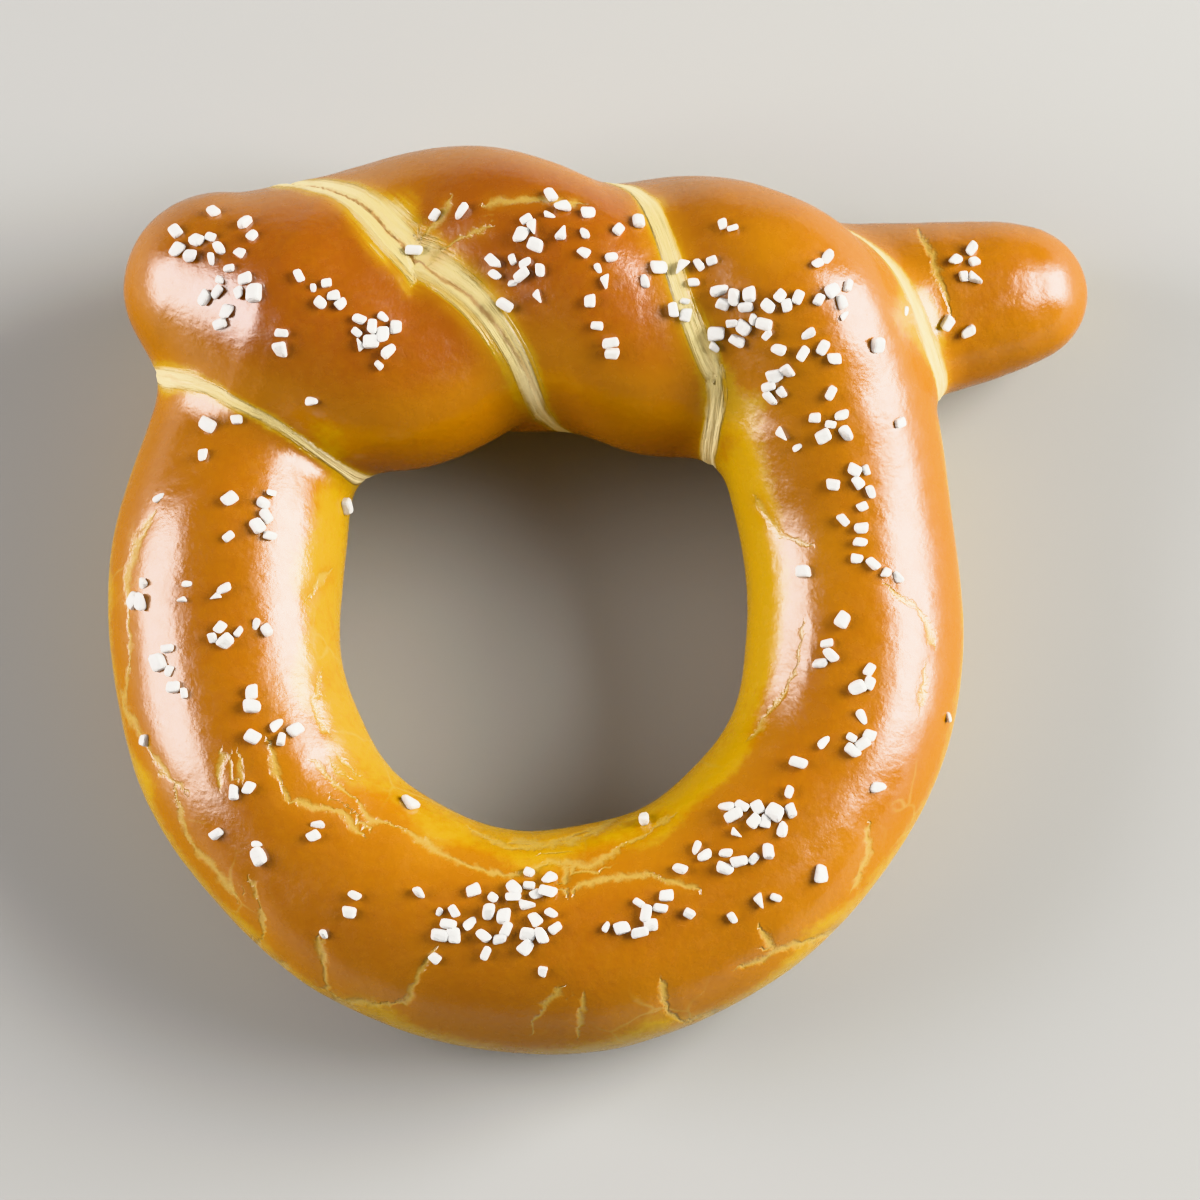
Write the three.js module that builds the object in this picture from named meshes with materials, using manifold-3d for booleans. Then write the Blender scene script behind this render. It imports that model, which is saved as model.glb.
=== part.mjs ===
// A ring-shaped soft pretzel: one rope of dough, its two ends twisted once round each other,
// baked flat on a sheet and scattered with coarse salt. Millimetres, +Z up, resting on z = 0.
// +Y points from the ring towards the twist, and the origin is under the middle of the whole.
import * as THREE from "three";
import { mergeVertices } from "three/addons/utils/BufferGeometryUtils.js";
import Module from "manifold-3d";

// Driving dimensions of the rope. Distances are from the centre of the ring to the rope's middle.
const RING_HALF_WIDTH = 40.9;
const RING_HALF_DEPTH = 40.5;
const ROPE_RADIUS = { left: 14.8, bottom: 14.3, right: 13.9, twistRight: 13, twistLeft: 13.3 };
const REST_HEIGHT = 11.5; // the rope's middle above the sheet, so that its foot is baked flat
const RING_STEP = Math.PI / 10;

// Driving dimensions of the twist, whose axis runs along X behind the ring.
const TWIST = { y: 42.5, slope: -0.1, midX: 10, z: 16.9, lift: 6.2, nearRight: 4.9, nearLeft: 5.7 };
// Where each strand passes the top, the far side, the bottom and the near side of the axis.
// The right arm's strand runs leftwards from its first crossing, and the left arm's runs rightwards.
const RIGHT_CROSSINGS = { first: "top", x: [32.8, 19, 3.3, -6.2] };
const LEFT_CROSSINGS = { first: "bottom", x: [-26.5, -9.8, 5.3, 14.5, 29.3] };

// Points where the rope leaves the ring for the twist, and where its two ends lie: x, y, z, radius.
const RIGHT_SHOULDER = [[39.8, 14, 12.6, 14.1], [37, 28, 17, 14.4]];
const LEFT_SHOULDER = [[-39.8, 13.5, 11.6, 14.8], [-36.4, 28.2, 9.8, 14.2]];
const LEFT_EAR = [[-19, 34.5, 18.8, 13.8], [-30, 39.8, 18.8, 15.2], [-41.5, 44.8, 16.5, 12.4]];
const RIGHT_EAR = [[42, 42.8, 10.5, 12], [52, 43.8, 10.2, 11.4], [60, 45.2, 10.2, 10.2], [62.6, 45.6, 10.2, 9.4]];

// Facets of the rope: sections along it, sides round it, and rounds over each domed end.
const SECTIONS = 96;
const SIDES = 18;
const DOME_ROUNDS = 4;
// The rope's slow swelling and narrowing, as shares of its radius, lengths and phases.
const SWELLS = [[0.016, 61, 0.6], [0.011, 27, 2.1]];

// Salt: grain sizes, and how the shaken grains lie.
const GRAIN_LENGTH = [1.7, 2.7];
const GRAIN_WIDTH = [1.2, 1.9];
const GRAIN_SPACING = 2; // least distance between the middles of two grains
const GRAIN_CORNER_SHIFT = 0.16; // share of a grain's size that each corner is worn or grown
const GRAIN_SUNK = 0.22; // share of a grain's height that is baked into the crust
const STEEPEST_HOLD = 0.3; // a grain slides off where the crust's normal points up less than this
const FALLS_PER_GRAIN = 10; // falls tried for each grain of a cluster before it goes short
const SALT_SEED = 4;
const PHOTO_RING_MIDDLE = [601, 867]; // pixel of the photograph where the ring's middle shows
const PHOTO_MM = 0.305; // millimetres to a pixel
const VIEW_TILT = (12 * Math.PI) / 180; // how far the photograph was taken off straight above
// Where the grains lie, as the photograph shows them: x and y in its pixels, spread and count.
const SALT_CLUSTERS = [
  // Left ear
  [474, 707, 11, 9], [471, 727, 7, 3], [446, 705, 8, 4], [460, 723, 3, 2], [462, 688, 1, 1],
  [481, 720, 2, 1], [489, 741, 4, 2], [500, 715, 1, 1], [511, 724, 6, 5], [531, 741, 9, 10],
  [504, 768, 1, 1],
  // Middle of the twist
  [559, 684, 7, 2], [549, 705, 1, 1], [597, 696, 8, 3], [611, 690, 9, 7], [594, 716, 9, 9],
  [627, 710, 5, 3], [630, 724, 6, 2], [631, 741, 7, 3], [640, 694, 6, 2], [651, 712, 4, 2],
  // Right of the twist
  [671, 713, 8, 5], [662, 727, 4, 3], [674, 742, 3, 1], [683, 694, 4, 2], [690, 730, 9, 12],
  [706, 724, 5, 4], [719, 708, 4, 2], [726, 724, 5, 5], [711, 747, 6, 4], [726, 749, 4, 2],
  [701, 763, 5, 4], [726, 765, 1, 1], [707, 782, 4, 2], [723, 781, 7, 5], [745, 745, 1, 1],
  [755, 778, 1, 1], [758, 731, 1, 1],
  // Right ear
  [781, 711, 6, 5], [777, 736, 4, 2],
  // Right arm
  [737, 805, 8, 6], [735, 828, 7, 4], [748, 841, 4, 3], [714, 841, 1, 1], [731, 862, 1, 1],
  [726, 875, 5, 3], [736, 888, 6, 3], [734, 910, 9, 6], [712, 923, 1, 1], [746, 933, 1, 1],
  [774, 903, 1, 1],
  // Near side
  [704, 942, 7, 6], [688, 945, 7, 5], [666, 961, 6, 3], [685, 963, 6, 4], [699, 960, 1, 1],
  [692, 982, 8, 3], [721, 970, 1, 1], [647, 947, 1, 1], [653, 986, 8, 7], [632, 992, 5, 2],
  [600, 978, 7, 9], [604, 992, 6, 5], [584, 990, 9, 8], [566, 995, 7, 6], [574, 976, 1, 1],
  [602, 1011, 1, 1], [596, 1001, 1, 1], [550, 977, 1, 1], [523, 981, 5, 2], [510, 994, 1, 1],
  [507, 952, 4, 2], [482, 960, 4, 2], [465, 951, 1, 1], [545, 941, 1, 1],
  // Left arm
  [474, 933, 6, 2], [478, 903, 9, 5], [498, 909, 1, 1], [434, 911, 1, 1], [454, 893, 8, 2],
  [440, 878, 5, 3], [466, 867, 5, 5], [486, 867, 10, 2], [468, 850, 5, 2], [450, 851, 5, 2],
  [431, 850, 4, 3], [468, 827, 1, 1], [481, 816, 8, 5], [440, 809, 1, 1], [462, 795, 12, 4],
  [518, 813, 1, 1], [535, 805, 5, 2], [545, 795, 1, 1],
];

const wasm = await Module();
wasm.setup();

// The twist's axis, and a point on a strand that has turned so many quarters round it from the top.
function twistPoint(x, quarters, toNear, radius) {
  const angle = (quarters * Math.PI) / 2;
  const axisY = TWIST.y + TWIST.slope * (x - TWIST.midX);
  return [x, axisY + toNear * Math.sin(angle), TWIST.z + TWIST.lift * Math.cos(angle), radius];
}

// A strand's way round the axis, with one point between each two crossings.
function twistStrand({ first, x }, toNear, radius) {
  const start = first === "top" ? 0 : -2;
  const points = [];
  for (let i = 0; i < x.length; i++) {
    points.push(twistPoint(x[i], start + i, toNear, radius));
    if (i + 1 < x.length) {
      points.push(twistPoint((x[i] + x[i + 1]) / 2, start + i + 0.5, toNear, radius));
    }
  }
  return points;
}

// The ring from the right side round the near side to the left, thickening towards the left.
function ringArc() {
  const points = [];
  for (let angle = 0; angle > -Math.PI - 1e-6; angle -= RING_STEP) {
    const side = Math.cos(angle) > 0 ? ROPE_RADIUS.right : ROPE_RADIUS.left;
    const radius = ROPE_RADIUS.bottom + (side - ROPE_RADIUS.bottom) * (1 + Math.sin(angle));
    points.push([
      RING_HALF_WIDTH * Math.cos(angle),
      RING_HALF_DEPTH * Math.sin(angle),
      REST_HEIGHT,
      radius,
    ]);
  }
  return points;
}

// The whole rope, from the tip of the left ear to the tip of the right one.
const ropePoints = [
  ...[...LEFT_EAR].reverse(),
  ...twistStrand(RIGHT_CROSSINGS, TWIST.nearRight, ROPE_RADIUS.twistRight).reverse(),
  ...[...RIGHT_SHOULDER].reverse(),
  ...ringArc(),
  ...LEFT_SHOULDER,
  ...twistStrand(LEFT_CROSSINGS, -TWIST.nearLeft, ROPE_RADIUS.twistLeft),
  ...RIGHT_EAR,
];

const ropeCurve = new THREE.CatmullRomCurve3(
  ropePoints.map(([x, y, z]) => new THREE.Vector3(x, y, z)),
);
ropeCurve.arcLengthDivisions = 2000;
const ropeLength = ropeCurve.getLength();

// The rope's radius at a share u of its length.
function ropeRadius(u) {
  const place = ropeCurve.getUtoTmapping(u) * (ropePoints.length - 1);
  const i = Math.min(Math.floor(place), ropePoints.length - 2);
  const radius = THREE.MathUtils.lerp(ropePoints[i][3], ropePoints[i + 1][3], place - i);
  const swell = SWELLS.reduce(
    (sum, [share, length, phase]) =>
      sum + share * Math.sin((2 * Math.PI * u * ropeLength) / length + phase),
    1,
  );
  return radius * swell;
}

// A section of the rope: a ring of corners round a centre, or one point where the radius is nothing.
function section(centre, normal, binormal, radius) {
  const corners = [];
  for (let i = 0; i < SIDES; i++) {
    const angle = (2 * Math.PI * (i + 0.5)) / SIDES;
    corners.push(
      centre.clone()
        .addScaledVector(normal, radius * Math.cos(angle))
        .addScaledVector(binormal, radius * Math.sin(angle)),
    );
  }
  return { centre, corners };
}

// Every section along the rope, with a dome over each end.
function ropeSections() {
  const { tangents, normals, binormals } = ropeCurve.computeFrenetFrames(SECTIONS, false);
  const at = (i) => ropeCurve.getPointAt(i / SECTIONS);
  const dome = (i, sign) => {
    const radius = ropeRadius(i / SECTIONS);
    const rounds = [];
    for (let j = 1; j < DOME_ROUNDS; j++) {
      const angle = ((Math.PI / 2) * j) / DOME_ROUNDS;
      const centre = at(i).addScaledVector(tangents[i], sign * radius * Math.sin(angle));
      rounds.push(section(centre, normals[i], binormals[i], radius * Math.cos(angle)));
    }
    const tip = at(i).addScaledVector(tangents[i], sign * radius);
    rounds.push({ centre: tip, corners: null });
    return rounds;
  };
  const body = tangents.map((_, i) =>
    section(at(i), normals[i], binormals[i], ropeRadius(i / SECTIONS)),
  );
  return [...dome(0, -1).reverse(), ...body, ...dome(SECTIONS, 1)];
}

// Turns a geometry whose faces close on themselves into a solid.
function solidFrom(geometry) {
  geometry.deleteAttribute("normal");
  geometry.deleteAttribute("uv");
  const merged = mergeVertices(geometry, 1e-4);
  return new wasm.Manifold(
    new wasm.Mesh({
      numProp: 3,
      vertProperties: new Float32Array(merged.attributes.position.array),
      triVerts: new Uint32Array(merged.index.array),
    }),
  );
}

// A stretch of rope through consecutive sections, its ends closed by a flat cap or by the tip.
function ropeSolid(sections) {
  const triangles = [];
  const add = (...points) => triangles.push(...points.flatMap((p) => p.toArray()));
  for (let s = 0; s + 1 < sections.length; s++) {
    const from = sections[s].corners;
    const to = sections[s + 1].corners;
    for (let i = 0; i < SIDES; i++) {
      const j = (i + 1) % SIDES;
      if (!from) add(sections[s].centre, to[j], to[i]);
      else if (!to) add(from[i], from[j], sections[s + 1].centre);
      else {
        add(from[i], from[j], to[j]);
        add(from[i], to[j], to[i]);
      }
    }
  }
  const first = sections[0];
  const last = sections[sections.length - 1];
  for (let i = 0; i < SIDES; i++) {
    const j = (i + 1) % SIDES;
    if (first.corners) add(first.centre, first.corners[j], first.corners[i]);
    if (last.corners) add(last.centre, last.corners[i], last.corners[j]);
  }
  const geometry = new THREE.BufferGeometry();
  geometry.setAttribute("position", new THREE.Float32BufferAttribute(triangles, 3));
  return solidFrom(geometry);
}

// The dough: two half ropes that overlap by a step at the near side of the ring, cut flat by the
// baking sheet.
function dough() {
  const sections = ropeSections();
  const middle = sections.reduce(
    (best, s, i) => (s.centre.y < sections[best].centre.y ? i : best),
    0,
  );
  const whole = ropeSolid(sections.slice(0, middle + 2)).add(ropeSolid(sections.slice(middle)));
  const reach = 4 * RING_HALF_WIDTH;
  const below = new THREE.BoxGeometry(reach, reach, reach);
  below.translate(0, 0, -reach / 2);
  return whole.subtract(solidFrom(below));
}

// A seeded draw between 0 and 1.
function seededDraw(seed) {
  let state = seed;
  return () => {
    state = (Math.imul(state, 1664525) + 1013904223) >>> 0;
    return state / 2 ** 32;
  };
}

// The crust's height over a point of the sheet, or null where there is no dough.
const ropeBeads = Array.from({ length: 4 * SECTIONS + 1 }, (_, i) => ({
  centre: ropeCurve.getPointAt(i / (4 * SECTIONS)),
  radius: ropeRadius(i / (4 * SECTIONS)),
}));
function crustHeight(x, y) {
  let height = null;
  for (const { centre, radius } of ropeBeads) {
    const rise = radius ** 2 - (x - centre.x) ** 2 - (y - centre.y) ** 2;
    if (rise > 0) height = Math.max(height, centre.z + Math.sqrt(rise));
  }
  return height;
}

// The crust's outward direction there, from its slope over a short way.
function crustNormal(x, y) {
  const way = 0.3;
  const heights = [[way, 0], [-way, 0], [0, way], [0, -way]].map(([dx, dy]) =>
    crustHeight(x + dx, y + dy),
  );
  if (heights.includes(null)) return null;
  const [right, left, far, near] = heights;
  return new THREE.Vector3(left - right, near - far, 2 * way).normalize();
}

// One grain: a worn, uneven crystal, standing on the crust and partly baked into it.
function grain(x, y, normal, draw) {
  const between = ([low, high]) => low + (high - low) * draw();
  const size = [between(GRAIN_LENGTH), between(GRAIN_WIDTH), between(GRAIN_WIDTH)];
  const geometry = new THREE.BoxGeometry(1, 1, 1);
  const corners = mergeVertices(geometry.deleteAttribute("normal").deleteAttribute("uv"), 1e-4);
  const position = corners.attributes.position;
  for (let i = 0; i < position.count; i++) {
    const worn = () => 1 - GRAIN_CORNER_SHIFT + 2 * GRAIN_CORNER_SHIFT * (draw() - 0.5);
    position.setXYZ(
      i,
      position.getX(i) * size[0] * worn(),
      position.getY(i) * size[1] * worn(),
      position.getZ(i) * size[2] * worn(),
    );
  }
  const turned = new THREE.Quaternion().setFromAxisAngle(
    new THREE.Vector3(0, 0, 1),
    2 * Math.PI * draw(),
  );
  const tipped = new THREE.Quaternion().setFromUnitVectors(new THREE.Vector3(0, 0, 1), normal);
  const lift = size[2] * (0.5 - GRAIN_SUNK);
  const place = new THREE.Vector3(x, y, crustHeight(x, y)).addScaledVector(normal, lift);
  corners.applyMatrix4(
    new THREE.Matrix4().compose(place, tipped.multiply(turned), new THREE.Vector3(1, 1, 1)),
  );
  return corners;
}

// The point of the sheet under the crust that shows at a pixel of the photograph, or null where
// no crust shows. The photograph's tilt moves a point up by its height, so this closes in on it.
function underPixel(pixelX, pixelY) {
  const x = (pixelX - PHOTO_RING_MIDDLE[0]) * PHOTO_MM;
  const shownUp = (PHOTO_RING_MIDDLE[1] - pixelY) * PHOTO_MM;
  let height = TWIST.z;
  let y = shownUp;
  for (let turn = 0; turn < 6; turn++) {
    y = (shownUp - (height - REST_HEIGHT) * Math.sin(VIEW_TILT)) / Math.cos(VIEW_TILT);
    height = crustHeight(x, y);
    if (height === null) return null;
  }
  return [x, y];
}

// The salt: each cluster's grains are scattered round its middle and stay where the crust holds them.
function salt() {
  const draw = seededDraw(SALT_SEED);
  const bell = () => draw() + draw() + draw() - 1.5;
  const grains = [];
  const taken = [];
  for (const [pixelX, pixelY, spread, count] of SALT_CLUSTERS) {
    let wanted = count;
    for (let fall = 0; wanted > 0 && fall < FALLS_PER_GRAIN * count; fall++) {
      const spot = underPixel(pixelX + spread * bell(), pixelY + spread * bell());
      const normal = spot && crustNormal(...spot);
      if (!normal || normal.z < STEEPEST_HOLD) continue;
      if (taken.some(([x, y]) => Math.hypot(spot[0] - x, spot[1] - y) < GRAIN_SPACING)) continue;
      taken.push(spot);
      grains.push(solidFrom(grain(...spot, normal, draw)));
      wanted--;
    }
  }
  return grains;
}

// Joins solids in pairs, then the pairs in pairs, which keeps each join small.
function joined(solids) {
  if (solids.length === 1) return solids[0];
  const half = Math.ceil(solids.length / 2);
  return joined(solids.slice(0, half)).add(joined(solids.slice(half)));
}

// The largest body of a solid, which drops any scrap that a join left loose.
function largest(solid) {
  return solid.decompose().reduce((best, s) => (s.volume() > best.volume() ? s : best));
}

function geometryFrom(solid) {
  const mesh = solid.getMesh();
  const geometry = new THREE.BufferGeometry();
  geometry.setAttribute("position", new THREE.BufferAttribute(mesh.vertProperties, 3));
  geometry.setIndex(new THREE.BufferAttribute(mesh.triVerts, 1));
  geometry.computeVertexNormals();
  return geometry;
}

function pretzel() {
  const geometry = geometryFrom(largest(dough().add(joined(salt()))));
  geometry.computeBoundingBox();
  const middle = geometry.boundingBox.getCenter(new THREE.Vector3());
  geometry.translate(-middle.x, -middle.y, 0);
  const crust = new THREE.MeshStandardMaterial({ color: 0xb5651d, roughness: 0.32, metalness: 0 });
  const mesh = new THREE.Mesh(geometry, crust);
  mesh.name = "pretzel";
  return mesh;
}

const group = new THREE.Group();
group.add(pretzel());

export default group;
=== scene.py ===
import math

import bmesh
import bpy
import numpy as np
from mathutils import Matrix, Vector, noise
from mathutils.bvhtree import BVHTree


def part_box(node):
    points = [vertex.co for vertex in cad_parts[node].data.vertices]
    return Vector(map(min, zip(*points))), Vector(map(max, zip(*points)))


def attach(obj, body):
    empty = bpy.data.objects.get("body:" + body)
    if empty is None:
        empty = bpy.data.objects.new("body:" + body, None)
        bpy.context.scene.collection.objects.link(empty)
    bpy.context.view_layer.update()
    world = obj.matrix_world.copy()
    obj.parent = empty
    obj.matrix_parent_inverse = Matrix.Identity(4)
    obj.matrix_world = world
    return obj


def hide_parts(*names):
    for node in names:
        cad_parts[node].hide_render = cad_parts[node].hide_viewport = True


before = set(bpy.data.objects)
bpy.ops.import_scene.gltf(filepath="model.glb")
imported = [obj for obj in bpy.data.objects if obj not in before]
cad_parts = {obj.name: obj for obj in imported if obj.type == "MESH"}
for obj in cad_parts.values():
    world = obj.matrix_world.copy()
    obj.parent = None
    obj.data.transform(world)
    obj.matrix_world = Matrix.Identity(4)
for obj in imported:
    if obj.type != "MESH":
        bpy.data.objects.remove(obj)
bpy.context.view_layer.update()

# The rope of dough
# One long roll of wheat dough, 28 mm thick, bent into a ring with its two ends twisted once round
# each other. It was dipped, laid on a sheet and baked, so its foot is flat and its strands grew
# into each other. Its sizes are in millimetres round the ring's middle until the mesh is made.
MM = 0.001
RING_HALF_WIDTH = 40.9
RING_HALF_DEPTH = 40.5
ROPE_RADIUS = {"left": 14.8, "bottom": 14.3, "right": 13.9, "twist_right": 13.0, "twist_left": 13.3}
REST_HEIGHT = 11.5
RING_STEP = math.pi / 10

# The strands wind round the twist's nearly level axis. Each crossing is the place across the
# pretzel where a strand has gone a quarter turn further.
TWIST_AXIS = {"y": 42.5, "slope": -0.1, "mid_x": 10, "z": 16.9}
TWIST_LIFT = 6.2
TWIST_NEAR = {"right": 4.9, "left": 5.7}
RIGHT_CROSSINGS = [32.8, 19, 3.3, -6.2]
LEFT_CROSSINGS = [-26.5, -9.8, 5.3, 14.5, 29.3]

# Each row is a point of the rope's middle and the rope's radius there.
RIGHT_SHOULDER = [[39.8, 14, 12.6, 14.1], [37, 28, 17, 14.4]]
LEFT_SHOULDER = [[-39.8, 13.5, 11.6, 14.8], [-36.4, 28.2, 9.8, 14.2]]
LEFT_EAR = [[-19, 34.5, 18.8, 13.8], [-30, 39.8, 18.8, 15.2], [-41.5, 44.8, 16.5, 12.4]]
RIGHT_EAR = [[42, 42.8, 10.5, 12], [52, 43.8, 10.2, 11.4], [60, 45.2, 10.2, 10.2], [62.6, 45.6, 10.2, 9.4]]

# The roll swells and thins a little along its length: share of its radius, wave length and phase.
SWELLS = [(0.016, 61, 0.6), (0.011, 27, 2.1)]
ROPE_STEP = 0.6
POINTS_AT_ONCE = 20000


def twist_strand(crossings, start_quarter, to_near, radius):
    """A strand's way round the twist's axis, a quarter turn between each two crossings."""
    points = []
    for i in np.arange(0, len(crossings) - 0.5, 0.5):
        x = float(np.interp(i, range(len(crossings)), crossings))
        angle = (start_quarter + i) * math.pi / 2
        axis_y = TWIST_AXIS["y"] + TWIST_AXIS["slope"] * (x - TWIST_AXIS["mid_x"])
        z = TWIST_AXIS["z"] + TWIST_LIFT * math.cos(angle)
        points.append([x, axis_y + to_near * math.sin(angle), z, radius])
    return points


def ring_arc():
    """The ring from its right side round the near side to the left, thickening towards the left."""
    points = []
    for i in range(round(math.pi / RING_STEP) + 1):
        angle = -i * RING_STEP
        side = ROPE_RADIUS["right"] if math.cos(angle) > 0 else ROPE_RADIUS["left"]
        radius = ROPE_RADIUS["bottom"] + (side - ROPE_RADIUS["bottom"]) * (1 + math.sin(angle))
        x = RING_HALF_WIDTH * math.cos(angle)
        y = RING_HALF_DEPTH * math.sin(angle)
        points.append([x, y, REST_HEIGHT, radius])
    return points


def smooth_path(points, per_span=60):
    """A centripetal curve through points, as rows of x, y, z and place along the list."""
    p = np.array(points, float)[:, :3]
    p = np.vstack([2 * p[0] - p[1], p, 2 * p[-1] - p[-2]])
    rows = []
    for i in range(1, len(p) - 2):
        knots = [0.0]
        for a, b in zip(p[i - 1 : i + 2], p[i : i + 3]):
            knots.append(knots[-1] + math.sqrt(np.linalg.norm(b - a)))
        t0, t1, t2, t3 = knots
        last = i == len(p) - 3
        share = np.linspace(0, 1, per_span + last, endpoint=bool(last))[:, None]
        t = t1 + share * (t2 - t1)
        a1 = ((t1 - t) * p[i - 1] + (t - t0) * p[i]) / (t1 - t0)
        a2 = ((t2 - t) * p[i] + (t - t1) * p[i + 1]) / (t2 - t1)
        a3 = ((t3 - t) * p[i + 1] + (t - t2) * p[i + 2]) / (t3 - t2)
        b1 = ((t2 - t) * a1 + (t - t0) * a2) / (t2 - t0)
        b2 = ((t3 - t) * a2 + (t - t1) * a3) / (t3 - t1)
        rows.append(np.hstack([((t2 - t) * b1 + (t - t1) * b2) / (t2 - t1), i - 1 + share]))
    return np.vstack(rows)


rope_points = (
    LEFT_EAR[::-1]
    + twist_strand(RIGHT_CROSSINGS, 0, TWIST_NEAR["right"], ROPE_RADIUS["twist_right"])[::-1]
    + RIGHT_SHOULDER[::-1]
    + ring_arc()
    + LEFT_SHOULDER
    + twist_strand(LEFT_CROSSINGS, -2, -TWIST_NEAR["left"], ROPE_RADIUS["twist_left"])
    + RIGHT_EAR
)
path = smooth_path(rope_points)
path_length = np.r_[0, np.cumsum(np.linalg.norm(np.diff(path[:, :3], axis=0), axis=1))]
along = np.linspace(0, path_length[-1], round(path_length[-1] / ROPE_STEP))
middle = np.stack([np.interp(along, path_length, path[:, i]) for i in range(3)], 1)
place = np.interp(along, path_length, path[:, 3])
swell = 1 + sum(share * np.sin(2 * math.pi * along / length + phase) for share, length, phase in SWELLS)
radius = np.interp(place, range(len(rope_points)), [p[3] for p in rope_points]) * swell
tangent = np.gradient(middle, along, axis=0)
taper = np.gradient(radius, along)
near_side = int(np.argmin(middle[:, 1]))
RIGHT_STRAND = slice(0, near_side + 1)
LEFT_STRAND = slice(near_side, len(middle))


def strand_distance(points, strand):
    """Distance out of a strand's skin, the direction out of it and the place along it, for each point."""
    centres, radii, ways, tapers, places = (row[strand] for row in (middle, radius, tangent, taper, along))
    nearest = np.empty(len(points), int)
    for start in range(0, len(points), POINTS_AT_ONCE):
        part = points[start : start + POINTS_AT_ONCE]
        squares = (part**2).sum(1)[:, None] + (centres**2).sum(1)[None] - 2 * part @ centres.T
        gap = np.sqrt(np.maximum(squares, 0)) - radii[None]
        nearest[start : start + POINTS_AT_ONCE] = gap.argmin(1)
    step = ((points - centres[nearest]) * ways[nearest]).sum(1)
    low = np.where(nearest == 0, 0, -ROPE_STEP)
    high = np.where(nearest == len(centres) - 1, 0, ROPE_STEP)
    step = np.clip(step, low, high)
    out = points - centres[nearest] - ways[nearest] * step[:, None]
    length = np.linalg.norm(out, axis=1)
    height = length - radii[nearest] - tapers[nearest] * step
    return height, out / length[:, None], places[nearest] + step


def smoothstep(low, high, value):
    """A soft rise from 0 at low to 1 at high."""
    share = np.clip((value - low) / (high - low), 0, 1)
    return share * share * (3 - 2 * share)


# Where the strands grew into each other, the crust tore and shows a pale seam. Each is given as the
# photograph shows it: pixels down its middle, and the pale band's width there in millimetres.
PHOTO_RING_MIDDLE = (601, 867)
PHOTO_MM = 0.305
VIEW_TILT = math.radians(12)
VIEW_DISTANCE = 1100
VIEW_PLANE = 12
SEAMS = {
    "over_left_arm": [(445, 757, 3.0), (465, 768, 2.0), (482, 780, 1.4), (507, 793, 1.2), (538, 803, 1.2)],
    "under_left_ear": [
        (516, 676, 4.4), (543, 699, 6.2), (562, 720, 4.4), (577, 740, 3.8), (591, 760, 3.2), (612, 784, 2.2)
    ],
    "middle": [
        (637, 666, 1.8), (653, 684, 2.4), (663, 701, 2.4), (669, 722, 2.5), (672, 748, 2.7), (673, 800, 2.0)
    ],
    "right_ear": [(726, 692, 1.2), (747, 707, 1.5), (760, 726, 2.2), (770, 744, 2.6), (775, 772, 1.6)],
}
HIDDEN_SEAM_WIDTH = 2.4
SEAM_REACH = (16, 9)
SHOWN_SEAM_HEIGHT = (14, 20)


def photo_place(points):
    """Where points on the pretzel show in the photograph, in millimetres from the ring's middle."""
    y, z = points[:, 1], points[:, 2] - VIEW_PLANE
    depth = z * math.cos(VIEW_TILT) - y * math.sin(VIEW_TILT)
    grow = VIEW_DISTANCE / (VIEW_DISTANCE - depth)
    return np.stack([points[:, 0] * grow, (y * math.cos(VIEW_TILT) + z * math.sin(VIEW_TILT)) * grow], 1)


def from_pixels(x, y):
    """A place in the photograph, in millimetres from the ring's middle."""
    return np.array([(x - PHOTO_RING_MIDDLE[0]) * PHOTO_MM, (PHOTO_RING_MIDDLE[1] - y) * PHOTO_MM])


def line_distance(shown, line):
    """Signed distance of each shown point to a line of points, and the place along it from 0 to 1."""
    best = np.full(len(shown), np.inf)
    signed = np.empty(len(shown))
    share = np.empty(len(shown))
    for i, (a, b) in enumerate(zip(line[:-1], line[1:])):
        way = b - a
        t = np.clip(((shown - a) @ way) / (way @ way), 0, 1)
        off = shown - a - t[:, None] * way
        gap = np.linalg.norm(off, axis=1)
        side = np.sign(way[0] * off[:, 1] - way[1] * off[:, 0])
        nearer = gap < best
        best[nearer] = gap[nearer]
        signed[nearer] = (gap * side)[nearer]
        share[nearer] = ((i + t) / (len(line) - 1))[nearer]
    return signed, share


def nearest_line(shown, lines):
    """Signed distance to the nearest of several lines of pixels, the place along it and its number."""
    measured = [line_distance(shown, [from_pixels(*spot[:2]) for spot in line]) for line in lines]
    signed, share = (np.array(rows) for rows in zip(*measured))
    which = np.abs(signed).argmin(0)
    each = np.arange(len(shown))
    return signed[which, each], share[which, each], which


def seam_width(points):
    """The pale band's width at the seam nearest to each point."""
    signed, share, which = nearest_line(photo_place(points), SEAMS.values())
    width = np.empty(len(points))
    for i, seam in enumerate(SEAMS.values()):
        own = which == i
        width[own] = np.interp(share[own], np.linspace(0, 1, len(seam)), [w for _, _, w in seam])
    reach = smoothstep(*SEAM_REACH, np.abs(signed)) * smoothstep(*SHOWN_SEAM_HEIGHT, points[:, 2])
    return HIDDEN_SEAM_WIDTH + (width - HIDDEN_SEAM_WIDTH) * reach


# The dough's skin is where this falls to nothing: outside both strands, above the sheet, with the
# strands blended where they grew together and the foot rounded where it met the sheet.
LEAST_BLEND = 3.4
BLEND_OF_WIDTH = 1.15
NO_BLEND = 1e-3
FOOT_BLEND = 2.4
LUMP_LENGTH = 21
LUMP_HEIGHT = 0.55
RIPPLE_LENGTH = 7.5
RIPPLE_HEIGHT = 0.1


def unevenness(points):
    """Slow lumps and slight ripples in the dough, as a height in millimetres."""
    heights = np.empty(len(points))
    for i, point in enumerate(points):
        spot = Vector(point)
        lump = LUMP_HEIGHT * noise.noise(spot / LUMP_LENGTH)
        heights[i] = lump + RIPPLE_HEIGHT * noise.noise(spot / RIPPLE_LENGTH)
    return heights


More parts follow.
